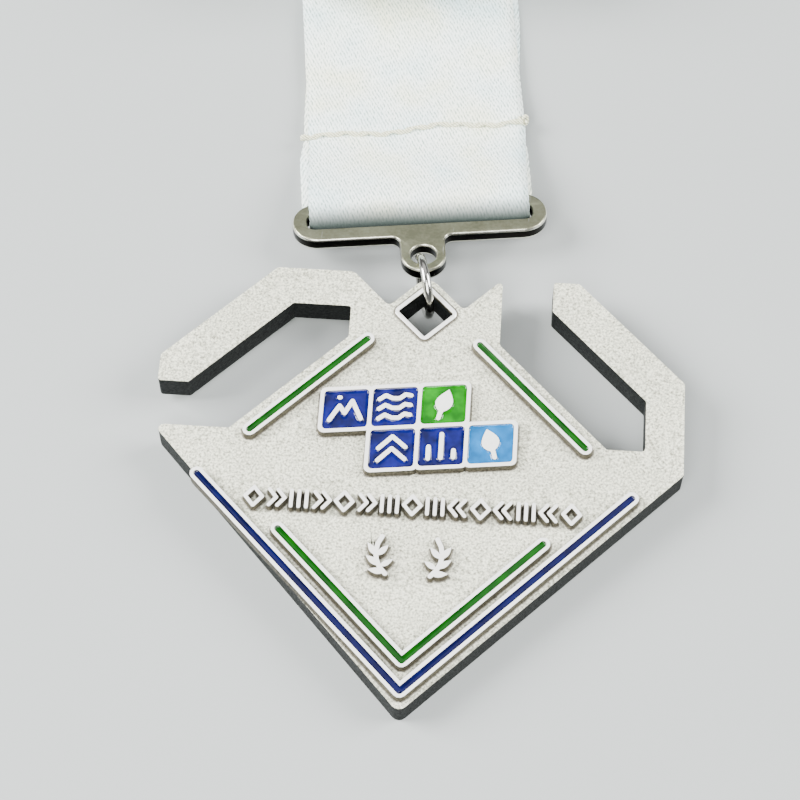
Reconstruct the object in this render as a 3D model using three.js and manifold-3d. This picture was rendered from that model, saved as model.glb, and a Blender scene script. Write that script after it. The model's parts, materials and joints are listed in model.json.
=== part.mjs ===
// Sports finisher medal. A cast badge with two hooked arms carries raised lines, a stepped block of
// enamel tiles and two rows of marks. A jump ring links its loop to a ribbon hanger, and a satin neck
// ribbon wraps the hanger's far bar, is sewn across, and is rolled up at its far end.
// The medal lies face up on the plane z = 0, propped at its loop by the ring. +Y runs to the ribbon.
import * as THREE from 'three';
import { mergeVertices } from 'three/addons/utils/BufferGeometryUtils.js';
import Module from 'manifold-3d';

const wasm = await Module();
wasm.setup();

// Badge casting, in millimetres. x is across the badge, y runs from its lower tip to its loop.
const badgeWidth = 80;
const baseThickness = 4.6;
const shoulderRise = 3.6; // the shoulders stand this far above the widest corners of the vee
const armWidth = 5.8; // of an arm's upright part
const armDiagonalWidth = 6.5;
const armTopWidth = 6.2; // of the left arm's level part
const armUpright = 8.5; // inner length of the right arm's upright part
const armEndStub = 4; // level end of the right arm
const shoulderGap = 5.8; // between a shoulder and the arm's inner face
const leftArmTipRise = 11; // the left arm's cut tip stands this far above the widest corner
const loopHalfWidth = 5.8; // from the loop's centre line to the notch beside it
const loopRimWidth = 1.8; // metal between the square hole and the loop's outer edge
const holeSide = 6;

// Relief on the face
const reliefHeight = 1.2; // above the base's face
const holeRimWidth = 0.65; // raised border of the square hole
const holeRimHeight = 0.3;
const ridgeWidth = 2.1; // each enamel line runs along the middle of a raised ridge
const channelWidth = 1;
const channelDepth = 0.5;
const enamelGap = 0.05; // between an enamel fill and its channel
const enamelSink = 0.12; // the enamel stays this far below the polished tops
const upperLineInset = 2.7; // from the diamond's upper edge to a green line, square to it
const upperLineEndDrop = 12.4; // from the apex to the line's upper end, along y
const upperLineLowEnd = 0.6; // the line's lower end stands this far under the shoulder
const outerVeeRise = 2.9; // from the badge's lower tip to the outer vee's tip
const innerVeeRise = 7.5;
const outerVeeInset = 7.7; // from the badge's side to the outer vee's end
const innerVeeInset = 20.5;

// Block of enamel tiles: two rows of three, the lower row one tile further right, edges slanting up
const tilePitchX = 7.35;
const tilePitchY = 7.05;
const tileRim = 0.6;
const tileCornerRadius = 0.6;
const tileSlant = 0.12; // rise over run
const tileBlockRise = 5.1; // the block's centre above the badge's widest corners
const tileMarkHalf = 2.35;
const tileMarkStroke = 0.7;

// Rows of raised marks
const markRowInset = 15; // from the badge's side to the row's end
const markRowDrop = 8; // the row's centre below the widest corners
const markHalf = 1.5; // half of a mark's height
const markStroke = 0.55;
const sprigDrop = 16.6; // the pair of sprigs below the widest corners
const sprigHalf = 2.6;
const sprigSpacing = 6.6;
const sprigStroke = 0.7;

// Jump ring
const ringWire = 1.4;
const ringPlay = 3; // the ring is this much wider inside than the casting is thick
const ringYaw = 14; // degrees, the ring's plane turned from +Y
const ringCentreX = -0.6;
const ringEntry = 3.15; // from the hole's upper corner down to the wire that passes through it
const ringLoopGap = 0.72; // between the badge's back and the wire under it

// Ribbon hanger, a flat plate. Its own origin is the centre of the eye, and y runs to the ribbon.
const hangerThickness = 2.2;
const hangerEndBand = 2.35; // metal beyond each end of the slot
const barHeight = 2.6;
const slotHeight = 3.1;
const slotEndClearance = 0.35; // each side of the ribbon
const slotCornerRadius = 1.2;
const eyePlay = 2.7; // the eye is this much wider than the wire through it
const eyeRimWidth = 1.5;
const lugLength = 4.2; // from the eye's centre to the near bar's edge
const lugFillet = 1.4;
const roundEndFlat = 0.3; // left between the two arcs of each round end
const hangerBevel = 0.25;
const hangerYaw = 7.4; // degrees
const hangerPitch = 12; // degrees, the ribbon side down
const eyeOffsetX = -1; // the eye's centre from the badge's centre line
const eyeLift = 0.9; // the eye's centre above the ring's centre

// Neck ribbon
const ribbonWidth = 35;
const ribbonThickness = 0.55;
const ribbonLayerGap = 0.3;
const ribbonYaw = 6.9; // degrees
const barClearance = 0.25; // between the bar's corners and the ribbon's fold
const foldSlack = 1.1; // the fold hangs this far into the slot
const seamDistance = 16.7; // from the far bar's centre
const tailDistance = 21.5; // where the folded end is cut
const flatStart = 27; // beyond this the strands lie flat on each other
const rollDistance = 54; // from the far bar's centre to the roll's centre
const ribbonLength = 900;
const rollCoreRadius = 2;
const threadDiameter = 0.4;

// What follows from them
const halfWidth = badgeWidth / 2;
const shoulderY = halfWidth + shoulderRise;
const shoulderX = halfWidth - armWidth - shoulderGap;
const apexY = shoulderY + shoulderX; // also the length of the badge
const armInnerSum = halfWidth - armWidth + shoulderY + armUpright; // x + y along an arm's inner edge
const armOuterSum = armInnerSum + armDiagonalWidth * Math.SQRT2;
const holeHalfDiagonal = holeSide / Math.SQRT2;
const holeCentreY = apexY - loopRimWidth * Math.SQRT2 - holeHalfDiagonal;
const reliefTop = baseThickness + reliefHeight;
const ringInnerRadius = (baseThickness + ringPlay) / 2;
const ringMeanRadius = ringInnerRadius + ringWire / 2;
const ringCentreHeight = ringInnerRadius + ringWire; // it stands on the table
const ringCentreDrop = loopRimWidth * Math.SQRT2 + ringEntry - ringMeanRadius; // below the apex
const degree = Math.PI / 180;
const loopLift = ringCentreHeight - ringInnerRadius + ringLoopGap; // of the badge's back at the ring
const badgeTilt = Math.asin(loopLift / (apexY - ringCentreDrop));

const finishes = {
  castSilver: { color: 0xc9c8c2, metalness: 1, roughness: 0.5 },
  darkBlueEnamel: { color: 0x14318f, metalness: 0, roughness: 0.15 },
  greenEnamel: { color: 0x2fae2f, metalness: 0, roughness: 0.15 },
  skyEnamel: { color: 0x2f9be0, metalness: 0, roughness: 0.15 },
  polishedSteel: { color: 0xd0d0d0, metalness: 1, roughness: 0.15 },
  nickelPlate: { color: 0xa8a69f, metalness: 1, roughness: 0.35 },
  whiteSatin: { color: 0xeef0ee, metalness: 0, roughness: 0.6 },
  creamThread: { color: 0xe9e6d6, metalness: 0, roughness: 0.8 },
};

// A geometry with one shared vertex at each place, as a solid that can be joined and cut.
function solidOf(geometry) {
  const bare = geometry.clone();
  bare.deleteAttribute('normal');
  bare.deleteAttribute('uv');
  const merged = mergeVertices(bare);
  const vertProperties = Float32Array.from(merged.attributes.position.array);
  const triVerts = Uint32Array.from(merged.index.array);
  return new wasm.Manifold(new wasm.Mesh({ numProp: 3, vertProperties, triVerts }));
}

function geometryOf(solid) {
  const { vertProperties, triVerts } = solid.getMesh();
  const geometry = new THREE.BufferGeometry();
  geometry.setAttribute('position', new THREE.BufferAttribute(vertProperties, 3));
  geometry.setIndex(new THREE.BufferAttribute(triVerts, 1));
  geometry.computeVertexNormals();
  return geometry;
}

function node(name, geometry, finish) {
  const mesh = new THREE.Mesh(geometry, new THREE.MeshStandardMaterial(finishes[finish]));
  mesh.name = name;
  return mesh;
}

function joined(solids) {
  return solids.reduce((whole, piece) => whole.add(piece));
}

function cutBy(solid, cutters) {
  return cutters.reduce((whole, cutter) => whole.subtract(cutter), solid);
}

// Closed outline through corners [x, y, radius], each rounded by an arc that touches both sides.
function roundedOutline(corners, arcSteps = 4) {
  const outline = [];
  corners.forEach(([x, y, radius], i) => {
    const corner = new THREE.Vector2(x, y);
    const before = new THREE.Vector2(...corners.at(i - 1)).sub(corner).normalize();
    const after = new THREE.Vector2(...corners[(i + 1) % corners.length]).sub(corner).normalize();
    const halfAngle = Math.acos(THREE.MathUtils.clamp(before.dot(after), -1, 1)) / 2;
    if (!radius || halfAngle > 89.9 * degree) {
      outline.push(corner);
      return;
    }
    const towards = before.clone().add(after).normalize();
    const centre = corner.clone().addScaledVector(towards, radius / Math.sin(halfAngle));
    const start = corner.clone().addScaledVector(before, radius / Math.tan(halfAngle)).sub(centre);
    const end = corner.clone().addScaledVector(after, radius / Math.tan(halfAngle)).sub(centre);
    const sweep = Math.atan2(start.cross(end), start.dot(end));
    for (let step = 0; step <= arcSteps; step += 1) {
      outline.push(start.clone().rotateAround(new THREE.Vector2(), (sweep * step) / arcSteps).add(centre));
    }
  });
  return outline;
}

function arcPoints(x, y, radius, fromDegrees, toDegrees, steps) {
  return Array.from({ length: steps + 1 }, (_, i) => {
    const angle = (fromDegrees + ((toDegrees - fromDegrees) * i) / steps) * degree;
    return [x + radius * Math.cos(angle), y + radius * Math.sin(angle)];
  });
}

// Upright prism between two heights.
function prism(outline, low, high, holes = []) {
  const shape = new THREE.Shape(outline);
  shape.holes = holes.map((hole) => new THREE.Path(hole));
  const geometry = new THREE.ExtrudeGeometry(shape, { depth: high - low, bevelEnabled: false });
  return solidOf(geometry.translate(0, 0, low));
}

// A raised or sunk line through points [x, y], with round ends and joints.
function line(points, width, low, high) {
  const radius = width / 2;
  const pieces = [];
  for (let i = 1; i < points.length; i += 1) {
    const from = new THREE.Vector2(...points[i - 1]);
    const to = new THREE.Vector2(...points[i]);
    const angle = to.clone().sub(from).angle() / degree;
    const outline = [
      ...arcPoints(to.x, to.y, radius, angle - 90, angle + 90, 6),
      ...arcPoints(from.x, from.y, radius, angle + 90, angle + 270, 6),
    ];
    pieces.push(prism(outline.map((point) => new THREE.Vector2(...point)), low, high));
  }
  return joined(pieces);
}

// A leaf blade from its foot to its tip, its two edges arcs that bulge to either side.
function leafOutline([footX, footY], [tipX, tipY], bulge, steps = 8) {
  const edge = (side) => Array.from({ length: steps }, (_, i) => {
    const share = i / steps;
    const out = side * bulge * Math.sin(Math.PI * share ** 0.8);
    return [
      footX + (tipX - footX) * share - (tipY - footY) * out,
      footY + (tipY - footY) * share + (tipX - footX) * out,
    ];
  });
  return [...edge(-1), [tipX, tipY], ...edge(1).slice(1).reverse()];
}

// Small pictures in a square that runs from -1 to 1: lines, and blades that are filled in.
const marks = {
  peaks: {
    lines: [
      [[-1, -0.75], [-0.4, 0.25], [-0.05, -0.3], [0.4, 0.55], [1, -0.75]],
      [[-0.45, 0.85], [-0.4, 0.85]],
    ],
  },
  waves: {
    lines: [0.7, 0, -0.7].map((y) =>
      [[-1, y - 0.12], [-0.6, y + 0.14], [-0.15, y - 0.1], [0.3, y - 0.12], [0.65, y + 0.14], [1, y + 0.05]]),
  },
  chevrons: {
    lines: [
      [[-0.85, 0.05], [0, 0.85], [0.85, 0.05]],
      [[-0.85, -0.8], [0, 0], [0.85, -0.8]],
    ],
  },
  podium: {
    lines: [
      [[-0.8, -0.85], [-0.8, 0]],
      [[0, -0.85], [0, 0.85]],
      [[0.8, -0.85], [0.8, -0.35]],
    ],
  },
  leafRight: {
    lines: [[[-0.3, -1], [-0.2, -0.6], [0.05, -0.1]]],
    blades: [leafOutline([-0.2, -0.6], [0.3, 1.05], 0.33)],
  },
  diamond: { lines: [[[0, -1], [0.85, 0], [0, 1], [-0.85, 0], [0, -1]]] },
  bars: { lines: [-0.75, 0, 0.75].map((x) => [[x, -0.85], [x, 0.85]]) },
  arrowRight: {
    lines: [
      [[-0.7, -0.85], [0, 0], [-0.7, 0.85]],
      [[0.15, -0.85], [0.85, 0], [0.15, 0.85]],
    ],
  },
  sprigRight: {
    lines: [arcPoints(-1.1, 0.3, 1.7, -50, 35, 5)],
    blades: [
      leafOutline([0.05, -0.9], [1, -0.8], 0.2),
      leafOutline([0.35, -0.5], [1.15, 0.05], 0.2),
      leafOutline([0.55, 0.1], [1.1, 0.85], 0.2),
      leafOutline([0.3, -0.55], [-0.4, -0.1], 0.2),
      leafOutline([0.5, 0.1], [-0.1, 0.75], 0.2),
    ],
  },
};
marks.leafLeft = mirrored(marks.leafRight);
marks.arrowLeft = mirrored(marks.arrowRight);
marks.sprigLeft = mirrored(marks.sprigRight);

function mirrored({ lines, blades = [] }) {
  return {
    lines: lines.map((path) => path.map(([x, y]) => [-x, y])),
    blades: blades.map((outline) => outline.map(([x, y]) => [-x, y]).reverse()),
  };
}

// A mark as a solid, every edge moved out by spread.
function markSolid(name, { centre, halfSize, stroke, low, high, slant = 0, spread = 0 }) {
  const place = ([x, y]) => [centre[0] + halfSize * x, centre[1] + halfSize * (y + slant * x)];
  const { lines, blades = [] } = marks[name];
  const pieces = lines.map((path) => line(path.map(place), stroke + 2 * spread, low, high));
  for (const blade of blades) {
    const outline = blade.map(place);
    pieces.push(prism(outline.map((point) => new THREE.Vector2(...point)), low, high));
    if (spread > 0) {
      pieces.push(line([...outline, outline[0]], 2 * spread, low, high));
    }
  }
  return joined(pieces);
}

function badgeOutline() {
  const topOuterX = armOuterSum - apexY;
  const sideTopY = armOuterSum - halfWidth;
  const innerX = halfWidth - armWidth;
  const rightEndX = topOuterX - armEndStub;
  const spikeX = 2 * loopHalfWidth;
  const notchY = apexY - loopHalfWidth;
  const leftTipY = halfWidth + leftArmTipRise;
  const leftLevelY = apexY - armTopWidth;
  return roundedOutline([
    [0, 0, 1.3],
    [halfWidth, halfWidth, 0.8],
    [halfWidth, sideTopY, 0.8],
    [topOuterX, apexY, 0.8],
    [rightEndX, apexY, 0.5],
    [rightEndX, armInnerSum - rightEndX, 0.5],
    [innerX, armInnerSum - innerX, 0.6],
    [innerX, shoulderY, 0.6],
    [shoulderX, shoulderY, 0.4],
    [spikeX, apexY - spikeX, 0.9],
    [spikeX, apexY, 0.5],
    [loopHalfWidth, notchY, 0.8],
    [0, apexY, 2.2],
    [-loopHalfWidth, notchY, 0.8],
    [-spikeX, apexY, 1.8],
    [-topOuterX, apexY, 0.8],
    [-halfWidth, sideTopY, 0.8],
    [-halfWidth, leftTipY, 0.5],
    [-armInnerSum + leftTipY, leftTipY, 0.5],
    [-armInnerSum + leftLevelY, leftLevelY, 0.5],
    [-spikeX, leftLevelY, 0.4],
    [-spikeX, apexY - spikeX, 0.5],
    [-shoulderX, shoulderY, 0.4],
    [-halfWidth, shoulderY, 0.8],
  ]);
}

function holeOutline(spread, radius) {
  const reach = holeHalfDiagonal + spread * Math.SQRT2;
  return roundedOutline([
    [0, holeCentreY - reach, radius],
    [reach, holeCentreY, radius],
    [0, holeCentreY + reach, radius],
    [-reach, holeCentreY, radius],
  ]);
}

// Centre lines of the four enamel lines.
const upperLineSum = apexY - upperLineInset * Math.SQRT2;
const upperLineHigh = apexY - upperLineEndDrop;
const upperLineLow = shoulderY - upperLineLowEnd;
const outerVeeX = halfWidth - outerVeeInset;
const innerVeeX = halfWidth - innerVeeInset;
const enamelLines = {
  enamel_line_upper_left: {
    finish: 'greenEnamel',
    path: [[upperLineLow - upperLineSum, upperLineLow], [upperLineHigh - upperLineSum, upperLineHigh]],
  },
  enamel_line_upper_right: {
    finish: 'greenEnamel',
    path: [[upperLineSum - upperLineLow, upperLineLow], [upperLineSum - upperLineHigh, upperLineHigh]],
  },
  enamel_vee_inner: {
    finish: 'greenEnamel',
    path: [[-innerVeeX, innerVeeX + innerVeeRise], [0, innerVeeRise], [innerVeeX, innerVeeX + innerVeeRise]],
  },
  enamel_vee_outer: {
    finish: 'darkBlueEnamel',
    path: [[-outerVeeX, outerVeeX + outerVeeRise], [0, outerVeeRise], [outerVeeX, outerVeeX + outerVeeRise]],
  },
};

// The tiles, by column from the left and row from the top.
const tiles = [
  { name: 'enamel_tile_peaks', mark: 'peaks', finish: 'darkBlueEnamel', column: 0, row: 0 },
  { name: 'enamel_tile_waves', mark: 'waves', finish: 'darkBlueEnamel', column: 1, row: 0 },
  { name: 'enamel_tile_leaf_green', mark: 'leafRight', finish: 'greenEnamel', column: 2, row: 0 },
  { name: 'enamel_tile_chevrons', mark: 'chevrons', finish: 'darkBlueEnamel', column: 1, row: 1 },
  { name: 'enamel_tile_podium', mark: 'podium', finish: 'darkBlueEnamel', column: 2, row: 1 },
  { name: 'enamel_tile_leaf_sky', mark: 'leafLeft', finish: 'skyEnamel', column: 3, row: 1 },
];

function tileCentre({ column, row }) {
  const x = (column - 1.5) * tilePitchX;
  return [x, halfWidth + tileBlockRise + tileSlant * x + (0.5 - row) * tilePitchY];
}

// A tile's outline, its upright sides and slanting ends moved out by spread from the pitch lines.
function tileOutline(tile, spread) {
  const [x, y] = tileCentre(tile);
  const reachX = tilePitchX / 2 + spread;
  const reachY = tilePitchY / 2 + spread;
  const radius = tileCornerRadius + Math.max(spread, 0);
  return roundedOutline([
    [x - reachX, y - reachY - tileSlant * reachX, radius],
    [x + reachX, y - reachY + tileSlant * reachX, radius],
    [x + reachX, y + reachY + tileSlant * reachX, radius],
    [x - reachX, y + reachY - tileSlant * reachX, radius],
  ]);
}

const cellFloor = reliefTop - channelDepth;
const enamelFloor = cellFloor + enamelGap;
const enamelTop = reliefTop - enamelSink;
const buried = baseThickness - 1; // reliefs start inside the base, so that they join it
const above = reliefTop + 1;

function tileMark(tile, spread = 0) {
  return markSolid(tile.mark, {
    centre: tileCentre(tile),
    halfSize: tileMarkHalf,
    stroke: tileMarkStroke,
    low: buried,
    high: reliefTop,
    slant: tileSlant,
    spread,
  });
}

function badgeBody() {
  const base = prism(badgeOutline(), 0, baseThickness, [holeOutline(0, 0.2)]);
  const holeRim = prism(
    holeOutline(holeRimWidth, 1),
    buried,
    baseThickness + holeRimHeight,
    [holeOutline(0, 0.2)],
  ).intersect(prism(badgeOutline(), 0, above));
  const ridges = Object.values(enamelLines).map(({ path }) => line(path, ridgeWidth, buried, reliefTop));
  const channels = Object.values(enamelLines).map(({ path }) => line(path, channelWidth, cellFloor, above));
  const blocks = tiles.map((tile) => prism(tileOutline(tile, tileRim / 2), buried, reliefTop));
  const cells = tiles.map((tile) => prism(tileOutline(tile, -tileRim / 2), cellFloor, above));
  const tileMarks = tiles.map((tile) => tileMark(tile));
  const raised = joined([base, holeRim, ...ridges, ...blocks, ...markRow(), ...sprigPair()]);
  return joined([cutBy(raised, [...channels, ...cells]), ...tileMarks]);
}

// A row of plain marks, the same read from either end.
function markRow() {
  const half = ['diamond', 'arrowRight', 'bars', 'arrowRight', 'diamond', 'arrowRight', 'bars'];
  const otherHalf = half.toReversed().map((name) => (name === 'arrowRight' ? 'arrowLeft' : name));
  const names = [...half, 'diamond', ...otherHalf];
  const rowHalf = halfWidth - markRowInset - markHalf;
  return names.map((name, i) => {
    return markSolid(name, {
      centre: [-rowHalf + (2 * rowHalf * i) / (names.length - 1), halfWidth - markRowDrop],
      halfSize: markHalf,
      stroke: markStroke,
      low: buried,
      high: reliefTop,
    });
  });
}

function sprigPair() {
  return [['sprigLeft', -1], ['sprigRight', 1]].map(([name, side]) => markSolid(name, {
    centre: [(side * sprigSpacing) / 2, halfWidth - sprigDrop],
    halfSize: sprigHalf,
    stroke: sprigStroke,
    low: buried,
    high: reliefTop,
  }));
}

function badge() {
  const group = new THREE.Group();
  group.add(node('medal_body', geometryOf(badgeBody()), 'castSilver'));
  for (const [name, { path, finish }] of Object.entries(enamelLines)) {
    const fill = line(path, channelWidth - 2 * enamelGap, enamelFloor, enamelTop);
    group.add(node(name, geometryOf(fill), finish));
  }
  for (const tile of tiles) {
    const cell = prism(tileOutline(tile, -tileRim / 2 - enamelGap), enamelFloor, enamelTop);
    group.add(node(tile.name, geometryOf(cell.subtract(tileMark(tile, enamelGap))), tile.finish));
  }
  group.rotation.x = badgeTilt;
  return group;
}

function jumpRing() {
  const torus = new THREE.TorusGeometry(ringMeanRadius, ringWire / 2, 12, 48).rotateY(Math.PI / 2);
  const ring = node('jump_ring', geometryOf(solidOf(torus)), 'polishedSteel');
  const group = new THREE.Group();
  group.rotation.z = ringYaw * degree;
  group.position.set(ringCentreX, apexY - ringCentreDrop, ringCentreHeight);
  group.add(ring);
  return group;
}

// The hanger's frame: the eye's centre in the middle of the plate, yawed and pitched.
const eyeRadius = (ringWire + eyePlay) / 2;
const eyeRise = ringMeanRadius - ringCentreDrop; // beyond the apex, where the ring's wire crosses
const lugRadius = eyeRadius + eyeRimWidth;
const hangerHeight = 2 * barHeight + slotHeight;
const slotWidth = ribbonWidth + 2 * slotEndClearance;
const slotNearY = lugLength + barHeight;
const farBarY = slotNearY + slotHeight + barHeight / 2;
const hangerPlace = new THREE.Group();
hangerPlace.rotation.set(-hangerPitch * degree, 0, hangerYaw * degree, 'ZYX');
hangerPlace.position.set(eyeOffsetX, apexY + eyeRise, ringCentreHeight + eyeLift);
hangerPlace.updateMatrix();

function ribbonHanger() {
  const endRadius = (hangerHeight - roundEndFlat) / 2;
  const lugCorner = lugRadius - roundEndFlat / 2;
  const farY = lugLength + hangerHeight;
  const halfSlot = slotWidth / 2;
  const halfBar = halfSlot + hangerEndBand;
  const shape = new THREE.Shape(roundedOutline([
    [-lugRadius, -lugRadius, lugCorner],
    [lugRadius, -lugRadius, lugCorner],
    [lugRadius, lugLength, lugFillet],
    [halfBar, lugLength, endRadius],
    [halfBar, farY, endRadius],
    [-halfBar, farY, endRadius],
    [-halfBar, lugLength, endRadius],
    [-lugRadius, lugLength, lugFillet],
  ], 8));
  shape.holes = [
    new THREE.Path(arcPoints(0, 0, eyeRadius, 15, 360, 23).map((point) => new THREE.Vector2(...point))),
    new THREE.Path(roundedOutline([
      [-halfSlot, slotNearY, slotCornerRadius],
      [halfSlot, slotNearY, slotCornerRadius],
      [halfSlot, slotNearY + slotHeight, slotCornerRadius],
      [-halfSlot, slotNearY + slotHeight, slotCornerRadius],
    ])),
  ];
  const plate = new THREE.ExtrudeGeometry(shape, {
    depth: hangerThickness - 2 * hangerBevel,
    bevelEnabled: true,
    bevelSegments: 1,
    bevelThickness: hangerBevel,
    bevelSize: hangerBevel,
    bevelOffset: -hangerBevel,
  });
  plate.translate(0, 0, hangerBevel - hangerThickness / 2);
  hangerPlace.add(node('ribbon_hanger', geometryOf(solidOf(plate)), 'nickelPlate'));
  return hangerPlace;
}

// Strip of ribbon along a path of [distance, height] points, as wide as the ribbon.
function ribbonStrip(path) {
  const points = path.map(([along, height]) => new THREE.Vector2(along, height));
  const half = ribbonThickness / 2;
  const sides = points.map((point, i) => {
    const ahead = points[Math.min(i + 1, points.length - 1)].clone();
    const direction = ahead.sub(points[Math.max(i - 1, 0)]).normalize();
    const across = new THREE.Vector2(-direction.y, direction.x).multiplyScalar(half);
    return [point.clone().add(across), point.clone().sub(across)];
  });
  const outline = [...sides.map(([left]) => left), ...sides.map(([, right]) => right).reverse()];
  const strip = new THREE.ExtrudeGeometry(new THREE.Shape(outline), {
    depth: ribbonWidth,
    bevelEnabled: false,
  });
  // The shape's x and y become the ribbon's length and height, and its depth the width.
  strip.translate(0, 0, -ribbonWidth / 2);
  strip.applyMatrix4(new THREE.Matrix4().makeBasis(
    new THREE.Vector3(0, 1, 0),
    new THREE.Vector3(0, 0, 1),
    new THREE.Vector3(1, 0, 0),
  ));
  return solidOf(strip);
}

// Eases from one height to another over a stretch of the ribbon.
function easedHeights(from, to, steps) {
  return Array.from({ length: steps + 1 }, (_, i) => {
    const share = i / steps;
    const ease = share * share * (3 - 2 * share);
    return [from[0] + (to[0] - from[0]) * share, from[1] + (to[1] - from[1]) * ease];
  });
}

function neckRibbon() {
  const barCentre = new THREE.Vector3(0, farBarY, 0).applyMatrix4(hangerPlace.matrix);
  const layer = ribbonThickness + ribbonLayerGap;
  const restHeights = [0, 1, 2].map((k) => ribbonThickness / 2 + 0.02 + k * layer);
  const foldRadius = Math.hypot(barHeight, hangerThickness) / 2 + barClearance + ribbonThickness / 2;
  const fold = arcPoints(-foldSlack, barCentre.z, foldRadius, 90, 270, 10);

  const usedLength = 2 * rollDistance + tailDistance + Math.PI * foldRadius + 2 * foldSlack;
  const rolledArea = (ribbonLength - usedLength) * ribbonThickness;
  const rollRadius = Math.sqrt(rolledArea / Math.PI + rollCoreRadius ** 2);
  const entryHeight = restHeights[1] + ribbonThickness / 2 + ribbonLayerGap;
  const rollReach = Math.sqrt(rollRadius ** 2 - (rollRadius - entryHeight) ** 2);
  const strandEnd = rollDistance - rollReach - 2 * ribbonLayerGap;

  const front = [
    [strandEnd, restHeights[1]],
    [flatStart, restHeights[1]],
    ...easedHeights([flatStart, restHeights[1]], [seamDistance + 1, restHeights[2]], 4).slice(1),
    ...easedHeights([seamDistance - 1, restHeights[2]], [0, barCentre.z + foldRadius], 6),
    ...fold,
    ...easedHeights([0, barCentre.z - foldRadius], [seamDistance - 6, restHeights[1]], 3),
    [tailDistance, restHeights[1]],
  ];
  const rear = [[1, restHeights[0]], [strandEnd, restHeights[0]]];

  const rollProfile = [[0, 0], [rollRadius, 0], [rollRadius, ribbonWidth], [0, ribbonWidth]];
  const roll = new THREE.LatheGeometry(rollProfile.map(([r, h]) => new THREE.Vector2(r, h)), 40);
  roll.translate(0, -ribbonWidth / 2, 0).rotateZ(-Math.PI / 2);
  roll.translate(0, rollDistance, rollRadius + 0.02);

  const seamHeight = restHeights[2] + ribbonThickness / 2 + threadDiameter / 2 + enamelGap;
  const seamReach = ribbonWidth / 2 - 0.5;
  const thread = new THREE.CylinderGeometry(threadDiameter / 2, threadDiameter / 2, 2 * seamReach, 8);
  thread.rotateZ(Math.PI / 2).translate(0, seamDistance, seamHeight);

  const group = new THREE.Group();
  group.add(node('ribbon_front_strand', geometryOf(ribbonStrip(front)), 'whiteSatin'));
  group.add(node('ribbon_rear_strand', geometryOf(ribbonStrip(rear)), 'whiteSatin'));
  group.add(node('ribbon_roll', geometryOf(solidOf(roll)), 'whiteSatin'));
  group.add(node('seam_thread', geometryOf(solidOf(thread)), 'creamThread'));
  group.rotation.z = ribbonYaw * degree;
  group.position.set(barCentre.x, barCentre.y, 0);
  return group;
}

const medal = new THREE.Group();
medal.add(badge(), jumpRing(), ribbonHanger(), neckRibbon());

// The origin is under the middle of the whole medal, on the plane that it lies on.
const box = new THREE.Box3().setFromObject(medal, true);
const middle = box.getCenter(new THREE.Vector3());
medal.position.set(-middle.x, -middle.y, -box.min.z);

export default medal;
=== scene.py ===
# A sports finisher medal on a pale table: cast badge, soft enamel, jump ring, hanger and satin ribbon.
import json
import math

import bmesh
import bpy
from mathutils import Matrix, Vector, noise
from mathutils.bvhtree import BVHTree


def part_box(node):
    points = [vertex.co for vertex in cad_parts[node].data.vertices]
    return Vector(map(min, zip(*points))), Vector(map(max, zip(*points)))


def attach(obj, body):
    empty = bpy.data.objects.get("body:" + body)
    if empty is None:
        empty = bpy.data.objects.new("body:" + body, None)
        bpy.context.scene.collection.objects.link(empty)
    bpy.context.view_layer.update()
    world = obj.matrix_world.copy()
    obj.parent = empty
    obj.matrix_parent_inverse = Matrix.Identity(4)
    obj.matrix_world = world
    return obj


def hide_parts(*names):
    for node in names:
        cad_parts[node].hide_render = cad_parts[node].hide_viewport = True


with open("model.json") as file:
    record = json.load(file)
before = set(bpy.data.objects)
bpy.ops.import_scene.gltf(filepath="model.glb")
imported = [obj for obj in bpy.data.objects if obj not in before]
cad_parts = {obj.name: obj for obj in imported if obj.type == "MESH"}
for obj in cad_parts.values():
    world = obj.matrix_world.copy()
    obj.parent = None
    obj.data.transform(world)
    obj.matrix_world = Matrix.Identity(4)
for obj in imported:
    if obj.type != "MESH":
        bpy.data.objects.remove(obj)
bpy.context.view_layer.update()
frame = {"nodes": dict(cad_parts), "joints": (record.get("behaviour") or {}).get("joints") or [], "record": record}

mm = 0.001
weld = 0.002 * mm  # points closer than this are one
sameHeight = 0.02 * mm
upright = 0.3  # a face is upright where its normal's rise is less than this
flat = 0.9  # and level where it is more than this
collection = bpy.context.scene.collection
joints = {joint["name"]: joint for joint in frame["joints"]}
mounts = {mount["name"]: mount for mount in frame["record"]["mounts"]}


def linear(hexColour):
    channels = [int(hexColour[i:i + 2], 16) / 255 for i in (1, 3, 5)]
    return [c / 12.92 if c <= 0.04045 else ((c + 0.055) / 1.055) ** 2.4 for c in channels] + [1]


def waveScale(period):
    # the Scale of a wave texture whose bands are one period apart
    return 1 / (3.2 * period)


def addNode(tree, kind, settings=None, links=None):
    # a setting is an input socket's value, by name or number, or one of the node's own options
    node = tree.nodes.new(kind)
    for key, value in (settings or {}).items():
        if isinstance(key, str) and hasattr(node, key):
            setattr(node, key, value)
        else:
            node.inputs[key].default_value = value
    for key, socket in (links or {}).items():
        tree.links.new(socket, node.inputs[key])
    return node


def newMaterial(name, settings):
    material = bpy.data.materials.new(name)
    material.use_nodes = True
    tree = material.node_tree
    shader = tree.nodes["Principled BSDF"]
    for key, value in settings.items():
        shader.inputs[key].default_value = value
    return material, tree, shader


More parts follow.
